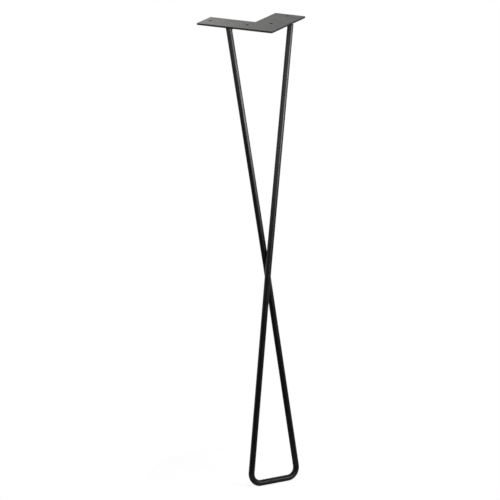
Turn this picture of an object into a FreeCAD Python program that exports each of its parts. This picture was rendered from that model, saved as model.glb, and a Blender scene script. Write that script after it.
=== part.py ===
import FreeCAD, Part
import math
import os

from FreeCAD import Vector

# Crossed hairpin leg for one corner of a table top. One steel rod is bent into a long narrow
# loop whose two sides cross half way down, and its ends are welded under an angle-shaped plate.
# The origin is on the plate's top face, where the centre lines of its two arms cross. +Z points
# up into the table top, +X and +Y run out along the arms, and the foot is below the outer corner.

# Mounting plate
arm_length = 127.0
arm_width = 51.0
plate_thickness = 3.0
outer_corner_radius = 0.8
inner_corner_radius = 1.0
edge_rounding = 0.4

# Screw holes, on the centre line of each arm
screw_hole_diameter = 5.5
hole_from_corner = 53.0
hole_from_end = 11.5

# Bent rod
leg_height = 711.0
rod_diameter = 9.5
rod_from_corner = 73.0
rod_edge_inset = 1.5

# Crossing of the rod's two sides
crossing_depth = 373.0
crossing_clearance = 0.3
crossing_bend_radius = 600.0

# Foot of the loop
foot_reach = 46.0
foot_width = 87.0
foot_turn = 11.8
foot_bend_radius = 16.0

# Weld bead on the inner side of each end of the rod
weld_leg = 3.0
weld_side_leg = 1.2
weld_hollow = 0.3

# Directions in plan: out through the plate's corner, and across from the Y arm to the X arm
outward = Vector(-1, -1, 0).normalize()
across = Vector(1, -1, 0).normalize()
up = Vector(0, 0, 1)

outer_corner = Vector(-arm_width / 2, -arm_width / 2, 0)
rod_radius = rod_diameter / 2


def mirrored(point):
    """The same point on the other arm: the plate is alike on both sides of its diagonal."""
    return Vector(point.y, point.x, point.z)


# Mounting plate

def angle_face(z):
    """The angle's flat shape at height z, from the outer corner round by the end of the X arm."""
    corners = [(0, 0), (arm_length, 0), (arm_length, arm_width), (arm_width, arm_width),
               (arm_width, arm_length), (0, arm_length), (0, 0)]
    return Part.Face(Part.makePolygon([outer_corner + Vector(x, y, z) for x, y in corners]))


def upright_edges(solid, at_inner_corner):
    """The edges that stand along Z, either the one at the inner corner or the five others."""
    inner_corner = outer_corner + Vector(arm_width, arm_width, 0)
    found = []
    for edge in solid.Edges:
        start, end = (vertex.Point for vertex in edge.Vertexes)
        stands = abs(end.z - start.z) > plate_thickness / 2
        level = Vector(start.x, start.y, 0)
        if stands and level.isEqual(inner_corner, edge_rounding) == at_inner_corner:
            found.append(edge)
    return found


def rim_edges(solid):
    """The edges that run round the top and bottom faces."""
    found = []
    for edge in solid.Edges:
        box = edge.BoundBox
        if box.ZLength < edge_rounding:
            found.append(edge)
    return found


def screw_drills():
    """One drill for each hole, two on each arm."""
    drills = []
    for along in (hole_from_corner, arm_length - hole_from_end):
        centre = outer_corner + Vector(along, arm_width / 2, -2 * plate_thickness)
        for place in (centre, mirrored(centre)):
            drills.append(Part.makeCylinder(screw_hole_diameter / 2, 3 * plate_thickness, place))
    return drills


def make_mounting_plate():
    """Angle cut from flat sheet, its corners and edges lightly rounded, with the holes through it."""
    plate = angle_face(-plate_thickness).extrude(up * plate_thickness)
    plate = plate.makeFillet(outer_corner_radius, upright_edges(plate, False))
    plate = plate.makeFillet(inner_corner_radius, upright_edges(plate, True))
    plate = plate.makeFillet(edge_rounding, rim_edges(plate))
    return plate.cut(screw_drills())


# Bent rod

def rod_corners():
    """Where the centre line would turn sharply: end, crossing, foot, foot, crossing, end.

    It starts at the end under the X arm, whose side passes outside the other one.
    """
    end_x = outer_corner + Vector(rod_from_corner, rod_edge_inset, -plate_thickness)
    end_y = mirrored(end_x)
    top = (end_x + end_y) / 2

    foot = outer_corner + outward * foot_reach + up * (rod_radius - leg_height)
    turn = math.radians(foot_turn)
    half_foot = (across * math.cos(turn) - outward * math.sin(turn)) * (foot_width / 2)

    # At the crossing the sides stand apart square to the leg's own slope
    slope = (foot - top).normalize()
    crossing = top + (foot - top) * ((crossing_depth - plate_thickness) / (top.z - foot.z))
    apart = slope.cross(across) * ((rod_diameter + crossing_clearance) / 2)
    return [end_x, crossing + apart, foot - half_foot, foot + half_foot, crossing - apart, end_y]


def bend(before, corner, after, radius):
    """The tangent arc that rounds one corner of the centre line."""
    back = (before - corner).normalize()
    on = (after - corner).normalize()
    half_turn = (math.pi - back.getAngle(on)) / 2
    run = radius * math.tan(half_turn)
    middle = corner + (back + on).normalize() * (radius / math.cos(half_turn) - radius)
    return Part.Arc(corner + back * run, middle, corner + on * run)


def centre_line(corners):
    """Straight runs joined by tangent arcs through the given corners."""
    radii = [crossing_bend_radius, foot_bend_radius, foot_bend_radius, crossing_bend_radius]
    edges = []
    reached = corners[0]
    for i, radius in enumerate(radii):
        arc = bend(corners[i], corners[i + 1], corners[i + 2], radius)
        edges += [Part.makeLine(reached, arc.StartPoint), arc.toShape()]
        reached = arc.EndPoint
    edges.append(Part.makeLine(reached, corners[-1]))
    return Part.Wire(edges)


def make_hairpin_rod():
    """The bent rod, made too long and then cut flat where it meets the plate's underside."""
    corners = rod_corners()
    corners[0] += (corners[0] - corners[1]).normalize() * rod_diameter
    corners[-1] += (corners[-1] - corners[-2]).normalize() * rod_diameter
    section = Part.makeCircle(rod_radius, corners[0], corners[1] - corners[0])
    rod = centre_line(corners).makePipe(Part.Face(Part.Wire(section)))
    side = 2 * (arm_length + rod_diameter)
    waste = Part.makeBox(2 * side, 2 * side, side, Vector(-side, -side, -plate_thickness))
    return rod.cut(waste)


# Welds

def make_weld(end, below, inward):
    """The bead in the corner between a rod's end and the plate, laid from the arm's inner side.

    It has its full leg there, is narrower beside the rod and runs out towards the plate's edge.
    """
    along_rod = (below - end).normalize()
    down_rod = along_rod / abs(along_rod.z)
    rings = []
    for share, depth, hollow in ((1, 0, 0),
                                 (0.5, weld_leg / 2, weld_hollow),
                                 (0, weld_leg + weld_hollow, weld_hollow)):
        centre = end + inward * (share * (weld_leg - weld_side_leg)) + down_rod * depth
        rings.append(Part.Wire(Part.makeCircle(rod_radius + share * weld_side_leg - hollow, centre, up)))
    bead = Part.makeLoft(rings, True)
    rod_end = Part.makeCylinder(rod_radius, 2 * rod_diameter, end - along_rod * rod_diameter, along_rod)
    return bead.cut(rod_end)


corners = rod_corners()
parts = {
    "mounting_plate": make_mounting_plate(),
    "hairpin_rod": make_hairpin_rod(),
    "x_arm_weld": make_weld(corners[0], corners[1], Vector(0, 1, 0)),
    "y_arm_weld": make_weld(corners[-1], corners[-2], Vector(1, 0, 0)),
}

os.makedirs("parts", exist_ok=True)
for name, shape in parts.items():
    shape.exportStep(f"parts/{name}.step")
    print(name, "volume", round(shape.Volume, 1), "solids", len(shape.Solids), "valid", shape.isValid())
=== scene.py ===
import math

import bmesh
import bpy
from mathutils import Matrix, Vector


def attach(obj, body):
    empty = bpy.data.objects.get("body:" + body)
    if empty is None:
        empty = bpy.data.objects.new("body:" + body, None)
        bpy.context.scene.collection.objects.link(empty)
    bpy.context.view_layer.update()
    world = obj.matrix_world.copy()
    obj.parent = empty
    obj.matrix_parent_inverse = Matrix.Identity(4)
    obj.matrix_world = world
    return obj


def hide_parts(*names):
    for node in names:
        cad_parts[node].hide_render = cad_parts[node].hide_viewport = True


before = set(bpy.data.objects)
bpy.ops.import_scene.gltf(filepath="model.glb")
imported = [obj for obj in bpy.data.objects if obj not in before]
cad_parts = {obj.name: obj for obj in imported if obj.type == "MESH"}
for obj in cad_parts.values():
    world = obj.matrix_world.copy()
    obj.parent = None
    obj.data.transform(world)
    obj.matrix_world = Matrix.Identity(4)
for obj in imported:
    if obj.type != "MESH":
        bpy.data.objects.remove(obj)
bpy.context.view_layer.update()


# Mounting plate
# An angle cut from 3 mm flat steel, with two equal arms and four drilled screw holes. It is sprayed
# with satin black powder together with the rod, so the coat thins a little over its rounded edges.

COAT_BLACK = (0.0105, 0.0103, 0.0103, 1)
COAT_THIN = (0.026, 0.0255, 0.0255, 1)
PEEL_WIDTH = 0.0019
PEEL_HEIGHT = 0.000008
GRAIN_WIDTH = 0.00032
GRAIN_HEIGHT = 0.0000025
CLOUD_WIDTH = 0.028
CLOUD_DETAIL = 3.0
FINE_DETAIL = 1.0
CLOUD_EDGE = (0.35, 0.75)
CLOUD_SHARE = 0.22
SPECK_EDGE = (0.62, 0.80)
SPECK_SHARE = 0.25
COAT_ROUGHNESS = 0.28
ROUGHNESS_SPREAD = 0.05
GLOSS_CLOUD_EDGE = (0.3, 0.7)
GLOSS_GRAIN_EDGE = (0.4, 0.8)
COAT_IOR = 1.5
EDGE_TILT = (0.05, 0.24)


def add_node(tree, kind, inputs=None, **settings):
    """A node of this kind, its settings made and its inputs given a value or joined to a socket."""
    made = tree.nodes.new(kind)
    for name, value in settings.items():
        setattr(made, name, value)
    for name, value in (inputs or {}).items():
        if isinstance(value, bpy.types.NodeSocket):
            tree.links.new(value, made.inputs[name])
        else:
            made.inputs[name].default_value = value
    return made


def new_group(name, kind, inputs, outputs):
    """An empty node group with named sockets, given as name: socket type."""
    group = bpy.data.node_groups.new(name, kind)
    for label, socket_type in inputs.items():
        group.interface.new_socket(name=label, in_out="INPUT", socket_type=socket_type)
    for label, socket_type in outputs.items():
        group.interface.new_socket(name=label, in_out="OUTPUT", socket_type=socket_type)
    return group, group.nodes.new("NodeGroupInput").outputs, group.nodes.new("NodeGroupOutput").inputs


def arithmetic(tree, operation, first, second=0.0):
    """One sum of two numbers or sockets."""
    return add_node(tree, "ShaderNodeMath", {0: first, 1: second}, operation=operation).outputs[0]


def noise(tree, place, width, detail=2.0):
    """Noise whose lumps are about this many metres across, 0 to 1."""
    inputs = {"Vector": place, "Scale": 1 / width, "Detail": detail}
    return add_node(tree, "ShaderNodeTexNoise", inputs).outputs[0]


def stretch(tree, value, low, high, new_low=0.0, new_high=1.0):
    """The range low to high carried over to new_low to new_high, and held there beyond it."""
    inputs = {"Value": value, "From Min": low, "From Max": high, "To Min": new_low, "To Max": new_high}
    return add_node(tree, "ShaderNodeMapRange", inputs, interpolation_type="SMOOTHSTEP").outputs[0]


def make_powder_coat_group():
    """Cured powder: orange peel, fine grain, cloudy gloss, and a thinner, greyer coat where told."""
    group, given, out = new_group(
        "Powder coat",
        "ShaderNodeTree",
        {"Place": "NodeSocketVector", "Thin": "NodeSocketFloat"},
        {"Colour": "NodeSocketColor", "Roughness": "NodeSocketFloat", "Height": "NodeSocketFloat"},
    )
    place = given["Place"]
    cloud = noise(group, place, CLOUD_WIDTH, CLOUD_DETAIL)
    peel = noise(group, place, PEEL_WIDTH)
    grain = noise(group, place, GRAIN_WIDTH, FINE_DETAIL)

    cloudy = stretch(group, cloud, *CLOUD_EDGE, 0.0, CLOUD_SHARE)
    specked = stretch(group, grain, *SPECK_EDGE, 0.0, SPECK_SHARE)
    share = arithmetic(group, "ADD", arithmetic(group, "ADD", cloudy, specked), given["Thin"])
    share = arithmetic(group, "MINIMUM", share, 1.0)
    mix = add_node(group, "ShaderNodeMix", {"Factor": share}, data_type="RGBA")
    mix.inputs["A"].default_value = COAT_BLACK
    mix.inputs["B"].default_value = COAT_THIN
    group.links.new(mix.outputs["Result"], out["Colour"])

    smoothest, roughest = COAT_ROUGHNESS - ROUGHNESS_SPREAD, COAT_ROUGHNESS + ROUGHNESS_SPREAD
    rough = stretch(group, cloud, *GLOSS_CLOUD_EDGE, smoothest, roughest)
    rough = arithmetic(group, "ADD", rough, stretch(group, grain, *GLOSS_GRAIN_EDGE, 0.0, ROUGHNESS_SPREAD))
    group.links.new(rough, out["Roughness"])

    height = arithmetic(group, "MULTIPLY", peel, PEEL_HEIGHT)
    fine = arithmetic(group, "MULTIPLY", grain, GRAIN_HEIGHT)
    group.links.new(arithmetic(group, "ADD", height, fine), out["Height"])
    return group


def make_edge_group():
    """1 where a face leans between the axes, as only the rounded edges of a square-cut plate do."""
    group, given, out = new_group(
        "Rounded edge", "ShaderNodeTree", {"Normal": "NodeSocketVector"}, {"Edge": "NodeSocketFloat"}
    )
    size = add_node(group, "ShaderNodeVectorMath", {0: given["Normal"]}, operation="ABSOLUTE").outputs[0]
    parts = add_node(group, "ShaderNodeSeparateXYZ", {0: size}).outputs
    most = arithmetic(group, "MAXIMUM", arithmetic(group, "MAXIMUM", parts[0], parts[1]), parts[2])
    tilt = arithmetic(group, "SUBTRACT", 1.0, most)
    group.links.new(stretch(group, tilt, *EDGE_TILT), out["Edge"])
    return group


powder_coat = make_powder_coat_group()
rounded_edge = make_edge_group()


def start_material(name):
    """An empty material with its shader, and the shader's node tree."""
    material = bpy.data.materials.new(name)
    material.use_nodes = True
    tree = material.node_tree
    tree.nodes.clear()
    shader = add_node(tree, "ShaderNodeBsdfPrincipled", {"IOR": COAT_IOR})
    add_node(tree, "ShaderNodeOutputMaterial", {"Surface": shader.outputs[0]})
    return material, tree, shader


def coat(tree, shader, place, thin, height=None):
    """Joins the powder coat to a shader, with an extra height under the coat if one is given."""
    film = add_node(tree, "ShaderNodeGroup", node_tree=powder_coat)
    tree.links.new(place, film.inputs["Place"])
    tree.links.new(thin, film.inputs["Thin"])
    tree.links.new(film.outputs["Colour"], shader.inputs["Base Color"])
    tree.links.new(film.outputs["Roughness"], shader.inputs["Roughness"])
    relief = film.outputs["Height"]
    if height is not None:
        relief = arithmetic(tree, "ADD", relief, height)
    bump = add_node(tree, "ShaderNodeBump", {"Height": relief, "Distance": 1.0})
    tree.links.new(bump.outputs[0], shader.inputs["Normal"])


ROLLING_WIDTH = 0.0035
ROLLING_LENGTH = 0.05
ROLLING_HEIGHT = 0.0000025
PLATE_THIN_EDGE = 0.55


def make_plate_coat():
    """The coat over rolled flat steel, whose faint rolling lines run along the X arm."""
    material, tree, shader = start_material("Plate powder coat")
    where = add_node(tree, "ShaderNodeTexCoord").outputs
    lines = add_node(tree, "ShaderNodeMapping", {"Vector": where["Object"]})
    lines.inputs["Scale"].default_value = (ROLLING_WIDTH / ROLLING_LENGTH, 1, 1)
    rolling = noise(tree, lines.outputs[0], ROLLING_WIDTH)
    edge = add_node(tree, "ShaderNodeGroup", node_tree=rounded_edge)
    tree.links.new(where["Normal"], edge.inputs["Normal"])
    thin = arithmetic(tree, "MULTIPLY", edge.outputs["Edge"], PLATE_THIN_EDGE)
    coat(tree, shader, where["Object"], thin, arithmetic(tree, "MULTIPLY", rolling, ROLLING_HEIGHT))
    return material


def finish_node(node, material):
    """Gives a CAD node its material."""
    node.data.materials.clear()
    node.data.materials.append(material)


finish_node(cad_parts["mounting_plate"], make_plate_coat())


# Bent rod
# One 9.5 mm round bar of cold-drawn steel, bent on a small former at the two corners of the foot
# and set over slightly where its sides pass. Its ends are sawn to lie flat under the plate.

ROD_DIAMETER = 0.0095
ROD_CORNERS = (
    (0.0475, -0.024, -0.003),
    (-0.02839, -0.02839, -0.37232),
    (-0.09443, -0.03421, -0.70625),
    (-0.02163, -0.08185, -0.70625),
    (-0.02153, -0.02153, -0.37368),
    (-0.024, 0.0475, -0.003),
)
SET_OVER_RADIUS = 0.6
FORMER_RADIUS = 0.016
BEND_RADII = (0, SET_OVER_RADIUS, FORMER_RADIUS, FORMER_RADIUS, SET_OVER_RADIUS, 0)
BEND_STEPS = 32
RING_SPACING = 0.002
ROD_SIDES = 40
PLATE_UNDERSIDE = -0.003


def named(tree, name, kind="FLOAT"):
    """Reads an attribute of the shape by its name."""
    made = add_node(tree, "GeometryNodeInputNamedAttribute", {"Name": name}, data_type=kind)
    return made.outputs["Attribute"]


def store(tree, shape, name, value, kind="FLOAT"):
    """Keeps a value on the shape under a name."""
    inputs = {"Geometry": shape, "Name": name, "Value": value}
    made = add_node(tree, "GeometryNodeStoreNamedAttribute", inputs, data_type=kind, domain="POINT")
    return made.outputs[0]


def make_rod_tree():
    """Rounds the corners of a line, sweeps a round section along it and cuts its ends level."""
    tree, given, out = new_group(
        "Bend the rod",
        "GeometryNodeTree",
        {
            "Line": "NodeSocketGeometry",
            "Rod Diameter": "NodeSocketFloat",
            "Ring Spacing": "NodeSocketFloat",
            "Sides": "NodeSocketInt",
            "Cut Height": "NodeSocketFloat",
            "Finish": "NodeSocketMaterial",
        },
        {"Rod": "NodeSocketGeometry"},
    )
    line = add_node(tree, "GeometryNodeMeshToCurve", {"Mesh": given["Line"]}).outputs[0]
    bent = add_node(tree, "GeometryNodeFilletCurve", {"Curve": line, "Count": BEND_STEPS}, mode="POLY")
    tree.links.new(named(tree, "bend_radius"), bent.inputs["Radius"])
    bent.inputs["Limit Radius"].default_value = False
    even = add_node(tree, "GeometryNodeResampleCurve", {"Curve": bent.outputs[0]}, mode="LENGTH")
    tree.links.new(given["Ring Spacing"], even.inputs["Length"])
    length = add_node(tree, "GeometryNodeSplineParameter").outputs["Length"]
    slope = add_node(tree, "GeometryNodeInputTangent").outputs[0]
    ends = add_node(tree, "GeometryNodeCurveEndpointSelection").outputs[0]
    path = store(tree, even.outputs[0], "rod_length", length)
    path = store(tree, path, "rod_slope", slope, "FLOAT_VECTOR")
    path = store(tree, path, "rod_end", ends, "BOOLEAN")

    radius = arithmetic(tree, "DIVIDE", given["Rod Diameter"], 2.0)
    sizes = {"Resolution": given["Sides"], "Radius": radius}
    ring = add_node(tree, "GeometryNodeCurvePrimitiveCircle", sizes)
    place = add_node(tree, "GeometryNodeInputPosition").outputs[0]
    section = store(tree, ring.outputs[0], "rod_section", place, "FLOAT_VECTOR")
    sweep = {"Curve": path, "Profile Curve": section, "Fill Caps": True}
    swept = add_node(tree, "GeometryNodeCurveToMesh", sweep)

    lift = add_node(tree, "ShaderNodeCombineXYZ", {"Z": named(tree, "rod_length")}).outputs[0]
    along = add_node(tree, "ShaderNodeVectorMath", {0: named(tree, "rod_section", "FLOAT_VECTOR"), 1: lift})
    shape = store(tree, swept.outputs[0], "rod_place", along.outputs[0], "FLOAT_VECTOR")

    tangent = named(tree, "rod_slope", "FLOAT_VECTOR")
    fall = add_node(tree, "ShaderNodeSeparateXYZ", {0: tangent}).outputs["Z"]
    level = add_node(tree, "ShaderNodeSeparateXYZ", {0: place}).outputs["Z"]
    reach = arithmetic(tree, "DIVIDE", arithmetic(tree, "SUBTRACT", given["Cut Height"], level), fall)
    slide = add_node(tree, "ShaderNodeVectorMath", {0: tangent, "Scale": reach}, operation="SCALE")
    cut = add_node(tree, "GeometryNodeSetPosition", {"Geometry": shape, "Offset": slide.outputs[0]})
    tree.links.new(named(tree, "rod_end", "BOOLEAN"), cut.inputs["Selection"])
    smooth = add_node(tree, "GeometryNodeSetShadeSmooth", {"Geometry": cut.outputs[0]}).outputs[0]
    whole = add_node(tree, "GeometryNodeRealizeInstances", {"Geometry": smooth}).outputs[0]
    done = add_node(tree, "GeometryNodeSetMaterial", {"Geometry": whole, "Material": given["Finish"]})
    tree.links.new(done.outputs[0], out["Rod"])
    return tree


def line_object(name, points, values=()):
    """A mesh of points joined one to the next, with named values kept on the points."""
    mesh = bpy.data.meshes.new(name)
    mesh.from_pydata([Vector(p) for p in points], [(i, i + 1) for i in range(len(points) - 1)], [])
    for label, numbers in values:
        mesh.attributes.new(label, "FLOAT", "POINT").data.foreach_set("value", numbers)
    line = bpy.data.objects.new(name, mesh)
    bpy.context.scene.collection.objects.link(line)
    return line


def grow(piece, tree, inputs, keep):
    """Runs a geometry tree on a piece and leaves the result as its plain mesh, with the kept attributes."""
    modifier = piece.modifiers.new(tree.name, "NODES")
    modifier.node_group = tree
    for socket in tree.interface.items_tree:
        if socket.name in inputs:
            modifier[socket.identifier] = inputs[socket.name]
    graph = bpy.context.evaluated_depsgraph_get()
    mesh = bpy.data.meshes.new_from_object(piece.evaluated_get(graph), depsgraph=graph)
    piece.modifiers.remove(modifier)
    for name in [a.name for a in mesh.attributes]:
        if name.startswith(("rod_", "bead_", "bend_")) and name not in keep:
            mesh.attributes.remove(mesh.attributes[name])
    mesh.name = piece.name
    piece.data = mesh
    return piece


DRAWN_LINE_WIDTH = 0.0007
DRAWN_LINE_LENGTH = 0.06
DRAWN_LINE_HEIGHT = 0.0000016
DRAWN_THIN_EDGE = (0.55, 0.8)
DRAWN_THIN_SHARE = 0.2


def make_rod_coat():
    """The coat over drawn bar, whose fine lines still show along the rod."""
    material, tree, shader = start_material("Rod powder coat")
    place = add_node(tree, "ShaderNodeAttribute", attribute_name="rod_place").outputs["Vector"]
    lines = add_node(tree, "ShaderNodeMapping", {"Vector": place})
    lines.inputs["Scale"].default_value = (1, 1, DRAWN_LINE_WIDTH / DRAWN_LINE_LENGTH)
    drawn = noise(tree, lines.outputs[0], DRAWN_LINE_WIDTH)
    thin = stretch(tree, drawn, *DRAWN_THIN_EDGE, 0.0, DRAWN_THIN_SHARE)
    coat(tree, shader, place, thin, arithmetic(tree, "MULTIPLY", drawn, DRAWN_LINE_HEIGHT))
    return material


bent_rod = line_object("bent_rod", ROD_CORNERS, [("bend_radius", BEND_RADII)])
rod_sizes = {
    "Rod Diameter": ROD_DIAMETER,
    "Ring Spacing": RING_SPACING,
    "Sides": ROD_SIDES,
    "Cut Height": PLATE_UNDERSIDE,
    "Finish": make_rod_coat(),
}
grow(bent_rod, make_rod_tree(), rod_sizes, keep=("rod_place",))
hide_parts("hairpin_rod")
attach(bent_rod, "root")


# Weld beads
# A bead of steel laid from the arm's inner side in the corner between each end of the rod and the
# plate's underside. It runs out beside the rod and cools in overlapping ripples, under the coat.

WELD_LEG = 0.003
WELD_SIDE_LEG = 0.0012
WELD_SWELL = 0.16
WELD_ROOT = (-0.09, -0.01125)
WELD_FACE_STEPS = 14
WELD_TURN_STEPS = 240
WELD_SWEEP = math.radians(116)
WELD_END_TURN = math.radians(16)
WELD_END_SIZE = 0.5
RIPPLE_PITCH = 0.0013
RIPPLE_HEIGHT = 0.00026
RIPPLE_LAG = 1.2
WELD_WANDER = 0.00035
WELD_WANDER_WIDTH = 0.005
CREST_EDGE = (0.6, 1.0)
CREST_THIN = 0.35


def weld_section():
    """Points round the bead as shares of its leg: out from the rod, down, and how far up its face."""
    face = []
    for step in range(WELD_FACE_STEPS + 1):
        share = step / WELD_FACE_STEPS
        rise = math.sin(math.pi * share)
        face.append((1 - share + WELD_SWELL * rise, share + WELD_SWELL * rise, rise))
    return face + [(*WELD_ROOT, 0)]


def weld_size(turn):
    """How far the bead stands out from the rod at this angle from the arm's inner side."""
    shift = WELD_LEG - WELD_SIDE_LEG
    ring = ROD_DIAMETER / 2 + WELD_SIDE_LEG
    reach = shift * math.cos(turn) + math.sqrt(ring ** 2 - (shift * math.sin(turn)) ** 2) - ROD_DIAMETER / 2
    run_out = min((WELD_SWEEP - abs(turn)) / WELD_END_TURN, 1)
    return reach * (WELD_END_SIZE + (1 - WELD_END_SIZE) * math.sin(math.pi / 2 * run_out))


def weld_object(name, end, below, inward):
    """A smooth bead round one end of the rod, which keeps its length and face share on its points."""
    end, down, inward = Vector(end), Vector(below) - Vector(end), Vector(inward)
    down /= -down.z
    beside = Vector((inward.y, inward.x, 0))
    section = weld_section()
    points, lengths, rises = [], [], []
    for step in range(WELD_TURN_STEPS + 1):
        turn = WELD_SWEEP * (2 * step / WELD_TURN_STEPS - 1)
        size = weld_size(turn)
        out = inward * math.cos(turn) + beside * math.sin(turn)
        for outward, depth, rise in section:
            points.append(end + out * (ROD_DIAMETER / 2 + outward * size) + down * (depth * size))
            lengths.append(turn * (ROD_DIAMETER + WELD_LEG) / 2)
            rises.append(rise * size / WELD_LEG)
    count = len(section)
    faces = [range(count), range(len(points) - count, len(points))]
    for ring in range(0, len(points) - count, count):
        for i in range(count):
            j = (i + 1) % count
            faces.append((ring + i, ring + j, ring + j + count, ring + i + count))
    mesh = bpy.data.meshes.new(name)
    mesh.from_pydata(points, [], faces)
    mesh.attributes.new("bead_length", "FLOAT", "POINT").data.foreach_set("value", lengths)
    mesh.attributes.new("bead_rise", "FLOAT", "POINT").data.foreach_set("value", rises)
    outwards = bmesh.new()
    outwards.from_mesh(mesh)
    bmesh.ops.recalc_face_normals(outwards, faces=outwards.faces)
    outwards.to_mesh(mesh)
    outwards.free()
    bead = bpy.data.objects.new(name, mesh)
    bpy.context.scene.collection.objects.link(bead)
    return bead


def make_ripple_tree():
    """Raises a row of curved ripples along a smooth bead, and lets its face wander a little."""
    tree, given, out = new_group(
        "Weld ripples",
        "GeometryNodeTree",
        {
            "Bead": "NodeSocketGeometry",
            "Pitch": "NodeSocketFloat",
            "Height": "NodeSocketFloat",
            "Lag": "NodeSocketFloat",
            "Wander": "NodeSocketFloat",
            "Seed": "NodeSocketFloat",
            "Finish": "NodeSocketMaterial",
        },
        {"Bead": "NodeSocketGeometry"},
    )
    rise = named(tree, "bead_rise")
    ahead = arithmetic(tree, "DIVIDE", named(tree, "bead_length"), given["Pitch"])
    phase = arithmetic(tree, "ADD", ahead, arithmetic(tree, "MULTIPLY", rise, given["Lag"]))
    wave = arithmetic(tree, "SINE", arithmetic(tree, "MULTIPLY", phase, math.pi))
    crest = arithmetic(tree, "MULTIPLY", arithmetic(tree, "ABSOLUTE", wave), rise)
    kept = store(tree, given["Bead"], "bead_crest", crest)

    place = add_node(tree, "GeometryNodeInputPosition").outputs[0]
    inputs = {"Vector": place, "W": given["Seed"], "Scale": 1 / WELD_WANDER_WIDTH, "Detail": FINE_DETAIL}
    wander = add_node(tree, "ShaderNodeTexNoise", inputs, noise_dimensions="4D").outputs[0]
    wander = arithmetic(tree, "MULTIPLY", arithmetic(tree, "SUBTRACT", wander, 0.5), given["Wander"])
    lift = arithmetic(tree, "ADD", arithmetic(tree, "MULTIPLY", crest, given["Height"]), wander)
    lift = arithmetic(tree, "MULTIPLY", lift, rise)
    normal = add_node(tree, "GeometryNodeInputNormal").outputs["Normal"]
    offset = add_node(tree, "ShaderNodeVectorMath", {0: normal, "Scale": lift}, operation="SCALE")
    moved = add_node(tree, "GeometryNodeSetPosition", {"Geometry": kept, "Offset": offset.outputs[0]})
    smooth = add_node(tree, "GeometryNodeSetShadeSmooth", {"Geometry": moved.outputs[0]}).outputs[0]
    whole = add_node(tree, "GeometryNodeRealizeInstances", {"Geometry": smooth}).outputs[0]
    done = add_node(tree, "GeometryNodeSetMaterial", {"Geometry": whole, "Material": given["Finish"]})
    tree.links.new(done.outputs[0], out["Bead"])
    return tree


def make_weld_coat():
    """The coat over the bead, thinner along the crests of its ripples."""
    material, tree, shader = start_material("Weld powder coat")
    crest = add_node(tree, "ShaderNodeAttribute", attribute_name="bead_crest").outputs["Fac"]
    where = add_node(tree, "ShaderNodeTexCoord").outputs["Object"]
    coat(tree, shader, where, stretch(tree, crest, *CREST_EDGE, 0.0, CREST_THIN))
    return material


ripple_tree = make_ripple_tree()
weld_coat = make_weld_coat()
welds = {
    "x_arm_weld": ("x_arm_weld_bead", ROD_CORNERS[0], ROD_CORNERS[1], (0, 1, 0), 1.0),
    "y_arm_weld": ("y_arm_weld_bead", ROD_CORNERS[-1], ROD_CORNERS[-2], (1, 0, 0), 2.0),
}
for node, (name, end, below, inward, seed) in welds.items():
    bead = weld_object(name, end, below, inward)
    ripples = {
        "Pitch": RIPPLE_PITCH,
        "Height": RIPPLE_HEIGHT,
        "Lag": RIPPLE_LAG,
        "Wander": WELD_WANDER,
        "Seed": seed,
        "Finish": weld_coat,
    }
    grow(bead, ripple_tree, ripples, keep=("bead_crest",))
    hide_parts(node)
    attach(bead, "root")


# Floor
# A round of white paper that the foot stands on, seen as white like the room round it. It keeps the
# leg's shadow, and is left open from below, so that the foot can be looked at from underneath.

FLOOR_CENTRE = (-0.058, -0.058, -0.711)
FLOOR_RADIUS = 0.2
FLOOR_SIDES = 96
PAPER_WHITE = (0.8, 0.8, 0.8, 1)
PAPER_LIFT = 0.83
PAPER_SHINE = 0.05


def make_paper():
    """Matt white paper, lifted to white for the camera, and a little in the leg's gloss."""
    material = bpy.data.materials.new("White paper")
    material.use_nodes = True
    tree = material.node_tree
    tree.nodes.clear()
    matt = add_node(tree, "ShaderNodeBsdfDiffuse", {"Color": PAPER_WHITE}).outputs[0]
    rays = add_node(tree, "ShaderNodeLightPath").outputs
    seen = arithmetic(tree, "MAXIMUM", rays["Is Camera Ray"], rays["Is Transmission Ray"])
    gloss = arithmetic(tree, "MULTIPLY", rays["Is Glossy Ray"], PAPER_SHINE)
    strength = arithmetic(tree, "MAXIMUM", arithmetic(tree, "MULTIPLY", seen, PAPER_LIFT), gloss)
    lift = add_node(tree, "ShaderNodeEmission", {"Strength": strength})
    paper = add_node(tree, "ShaderNodeAddShader", {0: matt, 1: lift.outputs[0]}).outputs[0]
    below = add_node(tree, "ShaderNodeNewGeometry").outputs["Backfacing"]
    open_below = add_node(tree, "ShaderNodeBsdfTransparent").outputs[0]
    mix = add_node(tree, "ShaderNodeMixShader", {0: below, 1: paper, 2: open_below})
    add_node(tree, "ShaderNodeOutputMaterial", {"Surface": mix.outputs[0]})
    return material


def make_floor():
    """A flat disc of paper under the foot."""
    turns = [2 * math.pi * i / FLOOR_SIDES for i in range(FLOOR_SIDES)]
    across = [FLOOR_RADIUS * Vector((math.cos(turn), math.sin(turn), 0)) for turn in turns]
    rim = [Vector(FLOOR_CENTRE) + step for step in across]
    mesh = bpy.data.meshes.new("paper_floor")
    mesh.from_pydata(rim, [], [range(FLOOR_SIDES)])
    mesh.materials.append(make_paper())
    floor = bpy.data.objects.new("paper_floor", mesh)
    bpy.context.scene.collection.objects.link(floor)
    return floor


make_floor()


# Camera
# Where the photograph was taken from: a long lens a little above the table's height, looking down
# past the plate's outer corner. Worked out from the outline of the leg.

CAMERA_TURN = math.radians(-65.92885)
CAMERA_DOWN = math.radians(15.52134)
CAMERA_ROLL = math.radians(1.02433)
CAMERA_DISTANCE = 6.223
CAMERA_AIM = Vector((-0.006037, 0.013515, -0.3553))
LENS = 288.0

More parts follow.
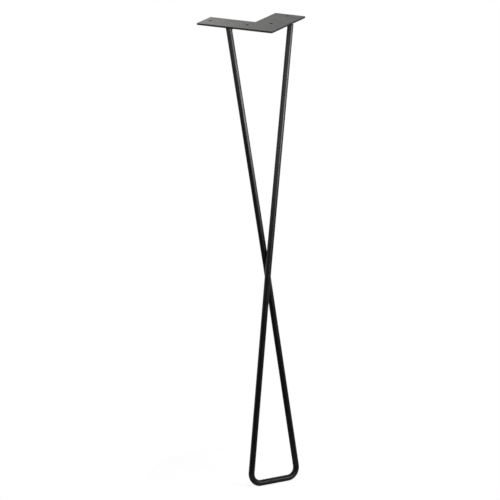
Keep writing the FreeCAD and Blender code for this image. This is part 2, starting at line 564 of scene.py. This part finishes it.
camera = bpy.data.objects.new("camera", bpy.data.cameras.new("camera"))
camera.data.lens = LENS
bpy.context.scene.collection.objects.link(camera)
facing = (
    Matrix.Rotation(CAMERA_TURN, 4, "Z")
    @ Matrix.Rotation(math.pi / 2 - CAMERA_DOWN, 4, "X")
    @ Matrix.Rotation(CAMERA_ROLL, 4, "Z")
)
away = facing @ Vector((0, 0, CAMERA_DISTANCE))
camera.matrix_world = Matrix.Translation(CAMERA_AIM + away) @ facing
bpy.context.scene.camera = camera


# Light
# A plain pale studio. Long soft boxes on the right and in front, and smaller ones on the left, low for
# the foot and behind, most with grids. The walls and ceiling behind the leg are pale, the rest is dim.

KEY_BOX = {"turn": 62, "distance": 0.9, "height": -0.1, "size": (1.1, 0.2), "shine": 3.75, "grid": 120}
FILL_BOX = {"turn": -20, "distance": 0.75, "height": 0.05, "size": (1.2, 0.4), "shine": 0.38, "grid": 100}
SIDE_BOX = {"turn": -60, "distance": 0.7, "height": -0.1, "size": (0.4, 0.4), "shine": 0.55, "grid": 180}
FOOT_BOX = {"turn": 70, "distance": 0.9, "height": -0.56, "size": (0.3, 0.3), "shine": 0.06, "grid": 20}
FOOT_BOX_AIM = -0.74
BACK_BOX = {"turn": 205, "distance": 0.7, "height": 0.4, "size": (0.5, 0.3), "shine": 1.02, "grid": 60}
BACK_BOX_AIM = -0.03
BACK_BOX_COLOUR = (1.0, 0.96, 0.89)
PALE_WALLS = ((215, 3, 0.35), (250, 10, 0.45), (145, 0, 0.38), (180, 40, 0.4))
WALL_EDGE = (0.7, 0.98)
ROOM_SHINE = 0.06
ROOM_LIGHT = 0.05

to_camera = Vector((math.sin(CAMERA_TURN), -math.cos(CAMERA_TURN), 0))
to_right = Vector((math.cos(CAMERA_TURN), math.sin(CAMERA_TURN), 0))


def direction(turn, rise=0):
    """The way out from the leg, turned from the camera towards its right and raised, both in degrees."""
    turn, rise = math.radians(turn), math.radians(rise)
    level = to_camera * math.cos(turn) + to_right * math.sin(turn)
    return level * math.cos(rise) + Vector((0, 0, math.sin(rise)))


def soft_box(name, turn, distance, height, size, shine, grid, aim_height=None, colour=(1, 1, 1)):
    """A rectangular lamp facing the leg, with a grid that narrows its beam to an angle in degrees."""
    lamp = bpy.data.lights.new(name, "AREA")
    lamp.shape = "RECTANGLE"
    lamp.size, lamp.size_y = size
    lamp.energy = shine * math.pi * size[0] * size[1]
    lamp.spread = math.radians(grid)
    lamp.color = colour
    box = bpy.data.objects.new(name, lamp)
    box.visible_camera = False
    bpy.context.scene.collection.objects.link(box)
    place = direction(turn) * distance + Vector((0, 0, height))
    aim = Vector((0, 0, height if aim_height is None else aim_height))
    facing_leg = (aim - place).to_track_quat("-Z", "Y")
    box.matrix_world = Matrix.Translation(place) @ facing_leg.to_matrix().to_4x4()


soft_box("key_soft_box", **KEY_BOX)
soft_box("fill_soft_box", **FILL_BOX)
soft_box("side_soft_box", **SIDE_BOX)
soft_box("foot_soft_box", aim_height=FOOT_BOX_AIM, **FOOT_BOX)
soft_box("back_soft_box", aim_height=BACK_BOX_AIM, colour=BACK_BOX_COLOUR, **BACK_BOX)


def make_room():
    """White to the camera all round. In the leg's gloss, pale behind it and dim elsewhere."""
    world = bpy.data.worlds.new("Studio")
    world.use_nodes = True
    tree = world.node_tree
    tree.nodes.clear()
    rays = add_node(tree, "ShaderNodeLightPath").outputs
    way = add_node(tree, "ShaderNodeTexCoord").outputs["Generated"]
    glossy = ROOM_SHINE
    for turn, rise, shine in PALE_WALLS:
        facing_wall = {0: way, 1: direction(turn, rise)}
        near_wall = add_node(tree, "ShaderNodeVectorMath", facing_wall, operation="DOT_PRODUCT")
        wall = stretch(tree, near_wall.outputs["Value"], *WALL_EDGE, 0.0, shine)
        glossy = arithmetic(tree, "ADD", wall, glossy)
    strength = {"Factor": rays["Is Glossy Ray"], "A": ROOM_LIGHT, "B": glossy}
    strength = add_node(tree, "ShaderNodeMix", strength, data_type="FLOAT").outputs["Result"]
    seen = arithmetic(tree, "MAXIMUM", rays["Is Camera Ray"], rays["Is Transmission Ray"])
    strength = {"Factor": seen, "A": strength, "B": 1.0}
    strength = add_node(tree, "ShaderNodeMix", strength, data_type="FLOAT").outputs["Result"]
    light = add_node(tree, "ShaderNodeBackground", {"Color": (1, 1, 1, 1), "Strength": strength})
    add_node(tree, "ShaderNodeOutputWorld", {"Surface": light.outputs[0]})
    return world


bpy.context.scene.world = make_room()
bpy.context.scene.view_settings.view_transform = "Standard"
